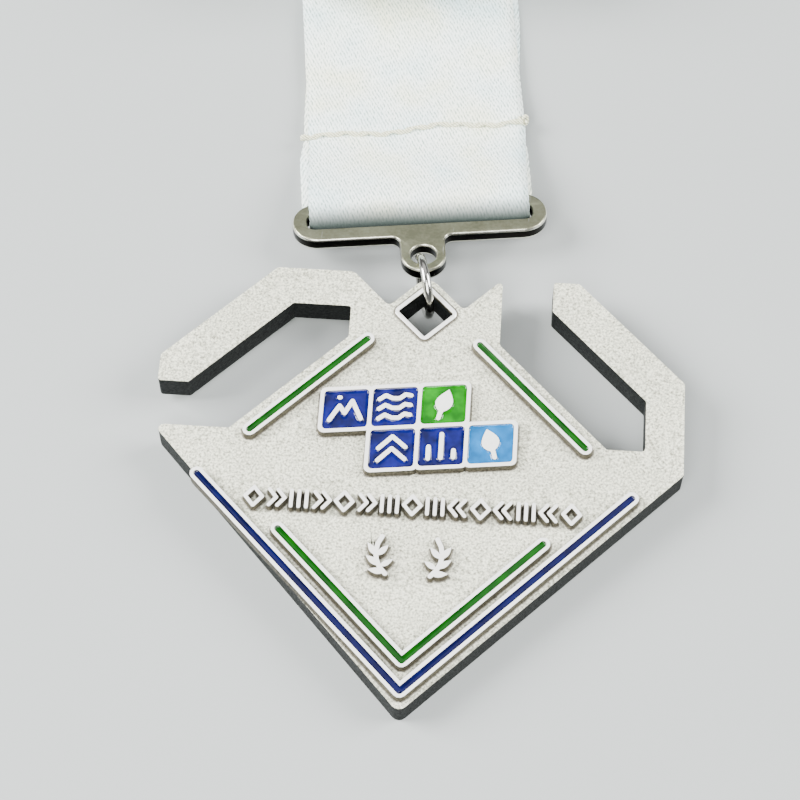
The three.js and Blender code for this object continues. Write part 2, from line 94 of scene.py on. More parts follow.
# camera: low over the badge's lower tip, looking up the ribbon
camera = {
    "place": (8.33 * mm, -205.27 * mm, 325.21 * mm),
    "aim": (-3.22 * mm, -23.79 * mm, 0),
    "roll": math.radians(0.15),
    "lens": 108.7,
}
lens = bpy.data.cameras.new("camera")
lens.lens = camera["lens"]
lens.clip_start = 0.01
viewer = bpy.data.objects.new("camera", lens)
collection.objects.link(viewer)
towards = Vector(camera["aim"]) - Vector(camera["place"])
turned = towards.to_track_quat("-Z", "Y").to_matrix().to_4x4() @ Matrix.Rotation(camera["roll"], 4, "Z")
viewer.matrix_world = Matrix.Translation(camera["place"]) @ turned
bpy.context.scene.camera = viewer
print("camera placed")


# materials of the casting
casting = {
    "floor": 4.6 * mm,  # height of the blasted face over the badge's back
    "top": 5.8 * mm,  # height of the polished reliefs
    "cell": (5.1 * mm, 5.5 * mm),  # the enamel's beds lie between these heights
    "draft": 0.13 * mm,  # how far a relief's foot stands out from its top
    "footLine": 0.2 * mm,  # width of the dark line along each foot: patina, darkened further as painted shade
    "reliefRound": 0.07 * mm,
    "edgeRound": 0.22 * mm,
    "grit": 0.36 * mm,
    "pits": 0.9 * mm,
    "clouds": 9 * mm,
    "grain": 0.8 * mm,
}


def blastedSilver(name, light, dark, metallic=1.0, gloss=0.5):
    # silver plate over a sand-blasted zinc casting: an even sparkle with small dark pits
    material, tree, shader = newMaterial(name, {"Metallic": metallic, "Specular IOR Level": gloss})
    place = addNode(tree, "ShaderNodeTexCoord").outputs["Object"]
    grit = addNode(tree, "ShaderNodeTexNoise",
                   {"Scale": 1 / casting["grit"], "Detail": 3, "Roughness": 0.65}, {"Vector": place})
    pits = addNode(tree, "ShaderNodeTexNoise",
                   {"Scale": 1 / casting["pits"], "Detail": 4, "Roughness": 0.7}, {"Vector": place})
    clouds = addNode(tree, "ShaderNodeTexNoise",
                     {"Scale": 1 / casting["clouds"], "Detail": 2}, {"Vector": place})
    gritShade = addNode(tree, "ShaderNodeMapRange",
                        {"From Min": 0.32, "From Max": 0.62}, {"Value": grit.outputs["Fac"]})
    pitShade = addNode(tree, "ShaderNodeMapRange",
                       {"From Min": 0.29, "From Max": 0.4, "To Min": 0.45, "To Max": 1},
                       {"Value": pits.outputs["Fac"]})
    both = addNode(tree, "ShaderNodeMath", {"operation": "MULTIPLY"},
                   {0: gritShade.outputs[0], 1: pitShade.outputs[0]})
    tint = addNode(tree, "ShaderNodeMix", {"data_type": "RGBA", 6: linear(dark), 7: linear(light)},
                   {0: both.outputs[0]})
    cloudy = addNode(tree, "ShaderNodeMapRange",
                     {"From Min": 0.3, "From Max": 0.7, "To Min": 0.93, "To Max": 1.04},
                     {"Value": clouds.outputs["Fac"]})
    shaded = addNode(tree, "ShaderNodeVectorMath", {"operation": "SCALE"},
                     {0: tint.outputs[2], "Scale": cloudy.outputs[0]})
    rough = addNode(tree, "ShaderNodeMapRange", {"To Min": 0.62, "To Max": 0.44},
                    {"Value": gritShade.outputs[0]})
    bump = addNode(tree, "ShaderNodeBump", {"Strength": 0.55, "Distance": 0.04 * mm},
                   {"Height": both.outputs[0]})
    tree.links.new(shaded.outputs[0], shader.inputs["Base Color"])
    tree.links.new(rough.outputs[0], shader.inputs["Roughness"])
    tree.links.new(bump.outputs[0], shader.inputs["Normal"])
    return material


def polishedSilver(name):
    # the reliefs' tops are rubbed bright after blasting: near white, with a faint grain
    material, tree, shader = newMaterial(name, {"Metallic": 0.35})
    place = addNode(tree, "ShaderNodeTexCoord").outputs["Object"]
    grain = addNode(tree, "ShaderNodeTexNoise", {"Scale": 1 / casting["grain"], "Detail": 3},
                    {"Vector": place})
    tint = addNode(tree, "ShaderNodeMix",
                   {"data_type": "RGBA", 6: linear("#efeee8"), 7: linear("#fffffc")},
                   {0: grain.outputs["Fac"]})
    rough = addNode(tree, "ShaderNodeMapRange", {"To Min": 0.38, "To Max": 0.24},
                    {"Value": grain.outputs["Fac"]})
    tree.links.new(tint.outputs[2], shader.inputs["Base Color"])
    tree.links.new(rough.outputs[0], shader.inputs["Roughness"])
    return material


castFinishes = {
    "blasted": blastedSilver("blasted_silver_plate", "#fefee8", "#7b7c6c", 0.55),
    "polished": polishedSilver("polished_silver_plate"),
    "patina": blastedSilver("oxidised_relief_wall", "#565143", "#26231c", 0.3, 0.3),
    # a dark ring round each relief's foot: patina in the corner, darkened further as painted shade
    "foot": blastedSilver("relief_foot_patina_and_painted_shade", "#8a877a", "#4a473e", 0.6),
    # the base's side walls are coloured near black: a painted dark reflection, as though they mirrored a dark
    # table
    "side": blastedSilver("casting_side_painted_dark_reflection", "#141716", "#040505", 0, 0.1),
}
castOrder = list(castFinishes)

# the badge lies tilted: its back plane is the mount's, and shapes are worked on with it laid flat
back = mounts["badge_back"]
faceNormal = -Vector(back["axis"])
toRow = Matrix.Translation(back["pos_m"]) @ faceNormal.to_track_quat("Z", "Y").to_matrix().to_4x4()
toFlat = toRow.inverted()


def flatCopy(node):
    # a CAD node's loose triangles, merged and laid flat
    bm = bmesh.new()
    bm.from_mesh(frame["nodes"][node].data)
    bmesh.ops.remove_doubles(bm, verts=bm.verts, dist=weld)
    bmesh.ops.dissolve_degenerate(bm, edges=bm.edges, dist=weld)
    bmesh.ops.transform(bm, matrix=toFlat, verts=bm.verts)
    return bm


def put(bm, name, body, materials, sharpAngle=35, nodes=()):
    # turns a finished bmesh into a piece that rides on its body
    mesh = bpy.data.meshes.new(name)
    bm.to_mesh(mesh)
    bm.free()
    for material in materials:
        mesh.materials.append(material)
    mesh.shade_smooth()
    mesh.set_sharp_from_angle(angle=math.radians(sharpAngle))
    piece = bpy.data.objects.new(name, mesh)
    collection.objects.link(piece)
    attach(piece, body)
    shading = piece.modifiers.new("level_shading", "WEIGHTED_NORMAL")
    shading.keep_sharp = True
    shading.weight = 100
    if nodes:
        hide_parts(*nodes)
    return piece


def near(a, b):
    return abs(a - b) < sameHeight


def castBadge():
    bm = flatCopy("medal_body")
    floor = casting["floor"]
    for face in bm.faces:
        height = face.calc_center_median().z
        if abs(face.normal.z) < flat:
            # upright faces below the face's height are the base's sides, which take the painted dark reflection
            finish = "patina" if height > floor else "side"
        elif face.normal.z < 0 or near(height, floor):
            finish = "blasted"
        else:
            finish = "patina" if casting["cell"][0] < height < casting["cell"][1] else "polished"
        face.material_index = castOrder.index(finish)

    # draft: each relief's foot moves outwards
    plain = [f for f in bm.faces if f.normal.z > flat and near(f.calc_center_median().z, floor)]
    moves = {}
    for vert in bm.verts:
        walls = [f for f in vert.link_faces
                 if abs(f.normal.z) < upright and f.calc_center_median().z > floor]
        if walls and near(vert.co.z, floor):
            moves[vert] = sum((f.normal for f in walls), Vector()).normalized() * casting["draft"]
    for vert, move in moves.items():
        vert.co += move

    # the face between the reliefs is filled afresh, with a dark line along each foot: patina, darkened further as
    # painted shade where the relief meets the face
    shores = [e for e in bm.edges if sum(f in plain for f in e.link_faces) == 1]
    bmesh.ops.delete(bm, geom=plain, context="FACES_KEEP_BOUNDARY")
    plain = fillLevel(bm, shores)
    ring = bmesh.ops.inset_region(bm, faces=plain, thickness=casting["footLine"],
                                  use_even_offset=True, use_boundary=True)["faces"]
    for face in ring:
        beside = [f for edge in face.edges for f in edge.link_faces if abs(f.normal.z) < 0.5]
        rising = any(f.calc_center_median().z > floor for f in beside)
        face.material_index = castOrder.index("foot" if rising else "blasted")
    roundEdges(bm, casting["top"], casting["reliefRound"])
    roundEdges(bm, 0, casting["edgeRound"])
    bmesh.ops.recalc_face_normals(bm, faces=bm.faces)
    bmesh.ops.transform(bm, matrix=toRow, verts=bm.verts)
    return bm


def fillLevel(bm, edges):
    # a level face inside closed loops of edges, with holes where the loops lie inside each other
    made = bmesh.ops.triangle_fill(bm, use_beauty=True, edges=edges, normal=(0, 0, 1))["geom"]
    faces = [item for item in made if isinstance(item, bmesh.types.BMFace)]
    for face in faces:
        face.material_index = castOrder.index("blasted")
        if face.normal.z < 0:
            face.normal_flip()
    return faces


def roundEdges(bm, height, width, segments=2):
    # the edges at one height where a level face meets an upright one
    edges = [e for e in bm.edges
             if len(e.link_faces) == 2 and all(near(v.co.z, height) for v in e.verts)
             and len({abs(f.normal.z) > flat for f in e.link_faces}) == 2]
    bmesh.ops.bevel(bm, geom=edges, offset=width, segments=segments, profile=0.5,
                    affect="EDGES", material=-1, clamp_overlap=True)


put(castBadge(), "cast_badge", "badge", castFinishes.values(), nodes=["medal_body"])
print("badge cast")


# soft enamel: a glossy fill that climbs its walls and sinks between them
enamel = {
    "climb": 0.06 * mm,  # how far it creeps up the walls
    "climbReach": 0.15 * mm,
    "sag": 0.26 * mm,
    "sagReach": 0.8 * mm,
    "lineSag": 0.2 * mm,
    "lineSagReach": 0.25 * mm,
    "lineInsets": (0.08 * mm, 0.14 * mm),
    "step": 0.24 * mm,
    "pool": 2.2 * mm,
    "green": ("#025002", "#077a05"),
    # the lines hold the same enamel as the tiles, coloured darker as painted shade in their narrow channels
    "green_line": ("#013202", "#034403"),
    "dark_blue": ("#040733", "#0d1160"),
    "dark_blue_line": ("#03052a", "#060a3c"),
    "sky": ("#004e80", "#0268a6"),
}


def enamelFinish(name, deep, light):
    # poured epoxy enamel: clear gloss over a colour that pools a little unevenly
    material, tree, shader = newMaterial(name, {"Roughness": 0.06, "IOR": 1.5, "Specular IOR Level": 0.35})
    place = addNode(tree, "ShaderNodeTexCoord").outputs["Object"]
    pool = addNode(tree, "ShaderNodeTexNoise", {"Scale": 1 / enamel["pool"], "Detail": 2},
                   {"Vector": place})
    share = addNode(tree, "ShaderNodeMapRange", {"From Min": 0.35, "From Max": 0.68},
                    {"Value": pool.outputs["Fac"]})
    tint = addNode(tree, "ShaderNodeMix", {"data_type": "RGBA", 6: linear(deep), 7: linear(light)},
                   {0: share.outputs[0]})
    tree.links.new(tint.outputs[2], shader.inputs["Base Color"])
    return material


enamelFinishes = {
    "green_enamel": enamelFinish("green_soft_enamel", *enamel["green"]),
    "green_enamel_line": enamelFinish("green_line_enamel", *enamel["green_line"]),
    "dark_blue_enamel": enamelFinish("dark_blue_soft_enamel", *enamel["dark_blue"]),
    "dark_blue_enamel_line": enamelFinish("dark_blue_line_enamel", *enamel["dark_blue_line"]),
    "sky_enamel": enamelFinish("sky_blue_soft_enamel", *enamel["sky"]),
}


def enamelFill(node, tile):
    bm = flatCopy(node)
    top = max(v.co.z for v in bm.verts)
    walls = bm.copy()
    lying = [f for f in walls.faces if abs(f.normal.z) > flat]
    bmesh.ops.delete(walls, geom=lying, context="FACES")
    shore = BVHTree.FromBMesh(walls)
    walls.free()
    if tile:
        cutInSquares(bm)
        bmesh.ops.dissolve_degenerate(bm, edges=bm.edges, dist=2 * weld)
        bmesh.ops.recalc_face_normals(bm, faces=bm.faces)
    else:
        surface = [f for f in bm.faces if f.normal.z > flat]
        for inset in enamel["lineInsets"]:
            bmesh.ops.inset_region(bm, faces=surface, thickness=inset,
                                   use_even_offset=True, use_boundary=True)
    sag = enamel["sag" if tile else "lineSag"]
    reach = enamel["sagReach" if tile else "lineSagReach"]
    for vert in bm.verts:
        if near(vert.co.z, top):
            away = shore.find_nearest(Vector((vert.co.x, vert.co.y, top)))[3]
            vert.co.z += (enamel["climb"] * math.exp(-away / enamel["climbReach"])
                          - sag * (1 - math.exp(-away / reach)))
    bmesh.ops.transform(bm, matrix=toRow, verts=bm.verts)
    return bm


def cutInSquares(bm):
    # a grid of cuts gives the sunken surface points to bend at
    for axis, direction in enumerate((Vector((1, 0, 0)), Vector((0, 1, 0)))):
        low = min(v.co[axis] for v in bm.verts)
        high = max(v.co[axis] for v in bm.verts)
        cuts = int((high - low) / enamel["step"])
        for i in range(1, cuts):
            bmesh.ops.bisect_plane(bm, geom=bm.verts[:] + bm.edges[:] + bm.faces[:], dist=0.001 * mm,
                                   plane_co=direction * (low + (high - low) * i / cuts), plane_no=direction)


slots = {part["node"]: part["material_slot"] for part in frame["record"]["subparts"]}
for node, slot in slots.items():
    if node.startswith("enamel_"):
        tile = "tile" in node
        # a line takes the darker copy of its tile's enamel: painted shade
        finish = slot if tile else slot + "_line"
        put(enamelFill(node, tile), node.replace("enamel_", "poured_"), "badge",
            [enamelFinishes[finish]], sharpAngle=50, nodes=[node])
print("enamel poured")


# jump ring: round wire bent to a ring, its two cut ends butted under the badge
ring = {
    "outer": 10.4 * mm,
    "wire": 1.4 * mm,
    "cut": math.radians(1.6),
    "turns": 120,
    "sides": 28,
    "wear": 0.9 * mm,
}


def polishedWire(name):
    # tumble-polished steel wire: mirror bright with fine scratches along the bend
    material, tree, shader = newMaterial(name, {"Metallic": 1, "Roughness": 0.12})
    place = addNode(tree, "ShaderNodeTexCoord").outputs["Object"]
    wear = addNode(tree, "ShaderNodeTexNoise", {"Scale": 1 / ring["wear"], "Detail": 5},
                   {"Vector": place})
    tint = addNode(tree, "ShaderNodeMix",
                   {"data_type": "RGBA", 6: linear("#8e8d88"), 7: linear("#d4d3ce")},
                   {0: wear.outputs["Fac"]})
    rough = addNode(tree, "ShaderNodeMapRange", {"To Min": 0.08, "To Max": 0.24},
                    {"Value": wear.outputs["Fac"]})
    bump = addNode(tree, "ShaderNodeBump", {"Strength": 0.25, "Distance": 0.02 * mm},
                   {"Height": wear.outputs["Fac"]})
    tree.links.new(tint.outputs[2], shader.inputs["Base Color"])
    tree.links.new(rough.outputs[0], shader.inputs["Roughness"])
    tree.links.new(bump.outputs[0], shader.inputs["Normal"])
    return material


def jumpRing():
    centre = Vector(joints["hanger_swing"]["pos_m"])
    axis = Vector(joints["hanger_swing"]["axis"])
    bm = bmesh.new()
    bent = (ring["outer"] - ring["wire"]) / 2
    bmesh.ops.create_circle(bm, cap_ends=True, segments=ring["sides"], radius=ring["wire"] / 2)
    bmesh.ops.rotate(bm, verts=bm.verts, cent=(0, 0, 0), matrix=Matrix.Rotation(math.pi / 2, 3, "X"))
    bmesh.ops.translate(bm, verts=bm.verts, vec=(bent, 0, 0))
    start = bm.faces[:]
    bmesh.ops.spin(bm, geom=start, cent=(0, 0, 0), axis=(0, 0, 1), steps=ring["turns"],
                   angle=2 * math.pi - ring["cut"], use_merge=False)
    bmesh.ops.remove_doubles(bm, verts=bm.verts, dist=0.001 * mm)
    bmesh.ops.recalc_face_normals(bm, faces=bm.faces)
    # the cut lies low on the badge's side, out of sight
    turned = axis.to_track_quat("Z", "Y").to_matrix().to_4x4()
    bmesh.ops.transform(bm, matrix=Matrix.Translation(centre) @ turned, verts=bm.verts)
    return bm


put(jumpRing(), "wire_ring", "ring", [polishedWire("polished_steel_wire")],
    nodes=["jump_ring"])
print("ring bent")


# ribbon hanger: a die-cast plate, its face tumbled and its edges rounded
hanger = {"edge": 0.2 * mm, "haze": 0.5 * mm, "patches": 5 * mm, "scratch": 0.25 * mm}


def tumbledNickel(name, light, dark, rough):
    # nickel plate after tumbling: soft grey with sparse fine scratches
    material, tree, shader = newMaterial(name, {"Metallic": 1, "Roughness": rough})
    place = addNode(tree, "ShaderNodeTexCoord").outputs["Object"]
    haze = addNode(tree, "ShaderNodeTexNoise", {"Scale": 1 / hanger["haze"], "Detail": 4},
                   {"Vector": place})
    patches = addNode(tree, "ShaderNodeTexNoise",
                      {"Scale": 1 / hanger["patches"], "Detail": 2}, {"Vector": place})
    stretched = addNode(tree, "ShaderNodeMapping",
                        {"Rotation": (0, 0, 0.5), "Scale": (1, 0.05, 0.05)}, {"Vector": place})
    scratches = addNode(tree, "ShaderNodeTexNoise", {"Scale": 1 / hanger["scratch"], "Detail": 1},
                        {"Vector": stretched.outputs[0]})
    line = addNode(tree, "ShaderNodeMapRange", {"From Min": 0.74, "From Max": 0.8},
                   {"Value": scratches.outputs["Fac"]})
    mixed = addNode(tree, "ShaderNodeMath", {"operation": "MULTIPLY_ADD", 1: 0.5},
                    {0: haze.outputs["Fac"], 2: patches.outputs["Fac"]})
    share = addNode(tree, "ShaderNodeMapRange", {"From Min": 0.55, "From Max": 0.95},
                    {"Value": mixed.outputs[0]})
    tint = addNode(tree, "ShaderNodeMix", {"data_type": "RGBA", 6: linear(dark), 7: linear(light)},
                   {0: share.outputs[0]})
    bright = addNode(tree, "ShaderNodeMix", {"data_type": "RGBA", 7: linear("#fffdf5")},
                     {0: line.outputs[0], 6: tint.outputs[2]})
    bump = addNode(tree, "ShaderNodeBump", {"Strength": 0.2, "Distance": 0.02 * mm},
                   {"Height": haze.outputs["Fac"]})
    tree.links.new(bright.outputs[2], shader.inputs["Base Color"])
    tree.links.new(bump.outputs[0], shader.inputs["Normal"])
    return material


def hangerPlate():
    bm = bmesh.new()
    bm.from_mesh(frame["nodes"]["ribbon_hanger"].data)
    bmesh.ops.remove_doubles(bm, verts=bm.verts, dist=weld)
    face = max(bm.faces, key=lambda f: f.calc_area() * (f.normal.z > 0.5))
    up = face.normal.copy()
    for f in bm.faces:
        f.material_index = 0 if abs(f.normal.dot(up)) > 0.5 else 1
    rims = [e for e in bm.edges
            if len(e.link_faces) == 2 and {f.material_index for f in e.link_faces} == {0, 1}]
    # the rims get a narrow rounded edge, later coloured near white as a painted highlight
    highlightedRims = bmesh.ops.bevel(bm, geom=rims, offset=hanger["edge"], segments=2, profile=0.5,
                             affect="EDGES", material=-1, clamp_overlap=True)["faces"]
    for f in highlightedRims:
        f.material_index = 2
    return bm


put(hangerPlate(), "nickel_hanger", "hanger",
    [tumbledNickel("tumbled_nickel_face", "#a9aa91", "#85866f", 0.36),
     # the plate's side is coloured near black: a painted dark reflection
     tumbledNickel("nickel_side_painted_dark_reflection", "#1c1b17", "#090807", 0.3),
     # the rounded rims are coloured near white: a painted highlight
     tumbledNickel("nickel_edge_painted_highlight", "#f7f6ea", "#cbcaba", 0.28)], sharpAngle=30,
    nodes=["ribbon_hanger"])
print("hanger plated")


# neck ribbon: one strip of satin from its cut end, round the roll, over the hanger's bar and back
bar = Vector(joints["ribbon_swing"]["pos_m"])
rollLow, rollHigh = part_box("ribbon_roll")
ribbon = {
    "width": 35 * mm,
    "length": 900 * mm,
    "cloth": 0.38 * mm,
    "yaw": math.radians(6.9),
    "rest": 0.295 * mm,  # height of the lowest layer's middle
    "layer": 0.85 * mm,  # from layer to layer where they lie flat
    "rolledLayer": 0.52 * mm,
    "fold": 2.23 * mm,  # radius of the turn round the bar
    "slack": 1.1 * mm,
    "seam": 16.7 * mm,  # this and the next six are distances from the bar's middle
    "tail": 21.5 * mm,
    "tailRise": 10.7 * mm,
    "flat": 27 * mm,
    "settles": 44 * mm,
    "leavesRoll": 51 * mm,
    "roll": 54 * mm,
    "core": 2.3 * mm,
    "lift": 0.1 * mm,  # the top layer's rise as it leaves the roll
    "pressed": 1 * mm,  # the seam holds the layers level this far to each side
    "cutEnd": 1.2 * mm,  # from the bar's middle to the lowest layer's end
    "scallop": 1.4 * mm,
    "scallopDepth": 0.11 * mm,
    "rolledScallop": 0.02 * mm,
    "fray": 0.9 * mm,
    "frayStart": 12 * mm,
    "drift": 1.7 * mm,  # how far the lower layer strays sideways
    "driftEnd": 42 * mm,
    "driftFade": 150 * mm,  # length of the rolled ribbon over which that is made up
    "shift": 0.7 * mm,  # the front layer leans sideways up to the seam
    "frontRun": 100 * mm,  # the front layer is the last stretch of the strip, this long
    "flare": 0.22 * mm,
    "waist": 0.25 * mm,  # the fold is narrower than the rest
    "waistReach": 8 * mm,
    "puff": 0.14 * mm,
    "puffLength": 11 * mm,
    "puffFade": 6 * mm,
    "rolledPuff": 0.3,
    "cutWaver": 0.35 * mm,
    "crease": 0.24 * mm,  # how deep the seam pulls the front layer in
    "creaseReach": 0.8 * mm,
    "paintedFoldShade": 6 * mm,  # painted shade: a blue-grey starts this far before the turn
    "darkestFoldShade": 0.8 * mm,  # and is darkest here
    "row": 0.5 * mm,
    "columns": 20,
    "foldSteps": 24,
    "rollSteps": 72,  # to a turn
}


# the seam across the ribbon is sewn by hand and climbs a little to the right
seam = {
    "thread": 0.52 * mm,
    "stitch": 1.9 * mm,
    "wander": 0.3 * mm,
    "waver": 0.9 * mm,
    "waverLength": 9 * mm,
    "over": 0.1 * mm,  # the thread runs this far past the ribbon's edges
    "steps": 260,
    "knotSteps": 120,
    "ply": 0.3 * mm,
    "lift": 0.14 * mm,
    "knot": 0.66 * mm,
    "smallKnot": 0.3 * mm,
    "slope": 0.045,
}


def seamAt(side):
    # distance of the sewn line from the bar, at one place across the ribbon
    waver = seam["waver"] * noise.noise(Vector((side / seam["waverLength"], 0, 0)))
    return ribbon["seam"] + seam["slope"] * side + waver


def eased(start, end, steps):
    points = []
    for i in range(steps + 1):
        share = i / steps
        ease = share * share * (3 - 2 * share)
        points.append((start[0] + (end[0] - start[0]) * share, start[1] + (end[1] - start[1]) * ease))
    return points


def ribbonRoute():
    # points (distance from the bar, height) from the cut end to the tail
    r = ribbon
    heights = [r["rest"] + k * r["layer"] for k in range(3)]
    radius = (rollHigh.z - rollLow.z) / 2
    centre = (r["roll"], rollLow.z + radius)
    turns = (radius - r["rolledLayer"] / 2 - r["core"]) / (2 * r["rolledLayer"])
    steps = int(turns * r["rollSteps"])

    def spiral(inwards):
        points = []
        for i in range(steps + 1):
            angle = 2 * math.pi * turns * i / steps
            reach = radius - r["rolledLayer"] * (0.5 + angle / math.pi + inwards)
            points.append((centre[0] + reach * math.sin(angle), centre[1] - reach * math.cos(angle)))
        return points

    under = eased((r["cutEnd"], heights[0]), (r["roll"], heights[0]), 20)
    over = [(r["roll"], heights[0] + r["rolledLayer"]),
            *eased((r["leavesRoll"], heights[0] + r["rolledLayer"] + r["lift"]),
                   (r["settles"], heights[1]), 6),
            *eased((r["flat"], heights[1]), (r["seam"] + r["pressed"], heights[2]), 16),
            *eased((r["seam"] - r["pressed"], heights[2]), (0, bar.z + r["fold"]), 16)]
    fold = []
    for i in range(1, r["foldSteps"] + 1):
        angle = math.pi * (0.5 + i / r["foldSteps"])
        fold.append((-r["slack"] + r["fold"] * math.cos(angle), bar.z + r["fold"] * math.sin(angle)))
    behind = [*eased((0, bar.z - r["fold"]), (r["tailRise"], heights[1]), 8),
              (r["tail"], heights[1])]
    return under + spiral(0)[1:] + spiral(1)[::-1] + over[1:] + fold + behind


def evenly(route, count):
    # the same route with count points spread evenly along it, and each point's distance from the start
    run = [0]
    for i in range(1, len(route)):
        run.append(run[-1] + math.dist(route[i - 1], route[i]))
    spread = []
    k = 1
    for i in range(count):
        at = run[-1] * i / (count - 1)
        while k < len(run) - 1 and run[k] < at:
            k += 1
        share = (at - run[k - 1]) / max(run[k] - run[k - 1], 1e-9)
        spread.append((at, *[a + (b - a) * share for a, b in zip(route[k - 1], route[k])]))
    return spread, run[-1]


def smoothStep(low, high, value):
    share = min(max((value - low) / (high - low), 0), 1)
    return share * share * (3 - 2 * share)


def ribbonPlace(along, height, side):
    # from the strip's own distances to the table's frame
    forward = Vector((-math.sin(ribbon["yaw"]), math.cos(ribbon["yaw"]), 0))
    right = Vector((math.cos(ribbon["yaw"]), math.sin(ribbon["yaw"]), 0))
    return Vector((bar.x, bar.y, height)) + forward * along + right * side


def neckRibbon():
    r = ribbon
    rows = int(r["length"] / r["row"])
    spread, whole = evenly(ribbonRoute(), rows + 1)
    bm = bmesh.new()
    bmesh.ops.create_grid(bm, x_segments=r["columns"], y_segments=rows, size=1)
    cloth = bm.loops.layers.uv.new("cloth")
    frontRun = whole - r["frontRun"]
    underRun = r["roll"] - r["cutEnd"]
    onCloth = {}
    for vert in bm.verts:
        across = vert.co.x
        row = round((vert.co.y + 1) / 2 * rows)
        run, along, height = spread[row]
        before = spread[max(row - 1, 0)]
        after = spread[min(row + 1, rows)]
        slope = Vector((after[1] - before[1], after[2] - before[2])).normalized()
        front = run > frontRun
        bite = r["scallopDepth"] if front or run < underRun else r["rolledScallop"]
        half = r["width"] / 2 + r["flare"] + bite * (abs(math.sin(math.pi * run / r["scallop"])) - 0.6)
        if run < underRun:
            drift = r["drift"] * smoothStep(r["seam"], r["driftEnd"], along)
            half += r["fray"] * (1 - smoothStep(r["frayStart"], r["seam"] + r["pressed"], along))
        elif not front:
            drift = r["drift"] * (1 - smoothStep(underRun, underRun + r["driftFade"], run))
        else:
            drift = r["shift"] * smoothStep(0, r["seam"], along)
            half -= r["waist"] * smoothStep(0, r["waistReach"], r["seam"] - along)
        puff = noise.noise(Vector((across * 1.6, run / r["puffLength"], 3))) * r["puff"]
        puff *= smoothStep(0, r["puffFade"], abs(along - r["seam"])) if front else r["rolledPuff"]
        if front and slope.x < 0:
            offSeam = along - seamAt(across * half)
            puff -= r["crease"] * math.exp(-(offSeam / r["creaseReach"]) ** 2)
        if row == 0:
            along += r["cutWaver"] * noise.noise(Vector((across * 30, 0, 0)))
        outwards = -slope.x if front else slope.x
        vert.co = ribbonPlace(along - slope.y * puff, height + outwards * puff, across * half + drift)
        onCloth[vert] = (across * r["width"] / 2, whole - run)
    for face in bm.faces:
        for loop in face.loops:
            loop[cloth].uv = onCloth[loop.vert]
    bmesh.ops.recalc_face_normals(bm, faces=bm.faces)
    return bm


weave = {
    "slant": math.radians(-21),
    "float": 0.52 * mm,
    "drawnSlant": math.radians(-28),
    "thread": 0.22 * mm,
    "stain": 13 * mm,
    "relief": 0.05 * mm,
}


def satin(name):
    # woven polyester satin: floats of thread in slanting rows, a soft sheen, faint dye stains
    material, tree, shader = newMaterial(name, {"Roughness": 0.55, "Sheen Weight": 0.25,
                                                "Sheen Roughness": 0.4})
    cloth = addNode(tree, "ShaderNodeUVMap", {"uv_map": "cloth"}).outputs[0]
    slanted = addNode(tree, "ShaderNodeMapping", {"Rotation": (0, 0, weave["slant"])}, {"Vector": cloth})
    floats = addNode(tree, "ShaderNodeTexWave",
                     {"wave_type": "BANDS", "bands_direction": "X", "Scale": waveScale(weave["float"]),
                      "Distortion": 1.6, "Detail": 2, "Detail Scale": 1.5}, {"Vector": slanted.outputs[0]})
    drawn = addNode(tree, "ShaderNodeMapping", {"Rotation": (0, 0, weave["drawnSlant"]),
                                                "Scale": (1, 0.28, 1)}, {"Vector": cloth})
    breaks = addNode(tree, "ShaderNodeTexNoise", {"Scale": 1 / weave["thread"], "Detail": 2},
                     {"Vector": drawn.outputs[0]})
    broken = addNode(tree, "ShaderNodeMapRange", {"From Min": 0.36, "From Max": 0.62},
                     {"Value": breaks.outputs["Fac"]})
    woven = addNode(tree, "ShaderNodeMath", {"operation": "MULTIPLY"},
                    {0: floats.outputs["Fac"], 1: broken.outputs[0]})
    stains = addNode(tree, "ShaderNodeTexNoise", {"Scale": 1 / weave["stain"], "Detail": 2},
                     {"Vector": cloth})
    stain = addNode(tree, "ShaderNodeValToRGB", {}, {"Fac": stains.outputs["Fac"]})
    ramp = stain.color_ramp
    ramp.elements[0].position = 0.3
    ramp.elements[0].color = linear("#f2f2d6")
    ramp.elements[1].position = 0.72
    ramp.elements[1].color = linear("#d5ebef")
    middle = ramp.elements.new(0.5)
    middle.color = linear("#f2f9f3")
    shade = addNode(tree, "ShaderNodeMix", {"data_type": "RGBA", "blend_type": "MULTIPLY",
                                            6: linear("#ffffff"), 7: linear("#93a6a0")},
                    {0: woven.outputs[0]})
    tinted = addNode(tree, "ShaderNodeMix", {"data_type": "RGBA", "blend_type": "MULTIPLY", 0: 1.0},
                     {6: stain.outputs["Color"], 7: shade.outputs[2]})
    bump = addNode(tree, "ShaderNodeBump", {"Strength": 0.8, "Distance": weave["relief"]},
                   {"Height": woven.outputs[0]})
    # painted shade: the turn round the bar is coloured a blue-grey that darkens towards the fold, standing for the
    # shade where the cloth turns under
    run = addNode(tree, "ShaderNodeSeparateXYZ", {}, {"Vector": cloth}).outputs["Y"]
    turn = ribbon["tail"] + ribbon["slack"] + ribbon["fold"] * math.pi / 2
    foldShadeShare = addNode(tree, "ShaderNodeMapRange",
                     {"interpolation_type": "SMOOTHERSTEP", "From Min": turn + ribbon["paintedFoldShade"],
                      "From Max": turn + ribbon["darkestFoldShade"]}, {"Value": run})
    paintedFoldShade = addNode(tree, "ShaderNodeMix", {"data_type": "RGBA", 7: linear("#38433f")},
                     {0: foldShadeShare.outputs[0], 6: tinted.outputs[2]})
    tree.links.new(paintedFoldShade.outputs[2], shader.inputs["Base Color"])
    tree.links.new(bump.outputs[0], shader.inputs["Normal"])
    return material


strip = put(neckRibbon(), "satin_ribbon", "ribbon", [satin("white_satin")], sharpAngle=80,
            nodes=["ribbon_front_strand", "ribbon_rear_strand", "ribbon_roll"])
strip.modifiers.clear()
thick = strip.modifiers.new("cloth", "SOLIDIFY")
thick.thickness = ribbon["cloth"]
thick.offset = 0
print("ribbon wound")


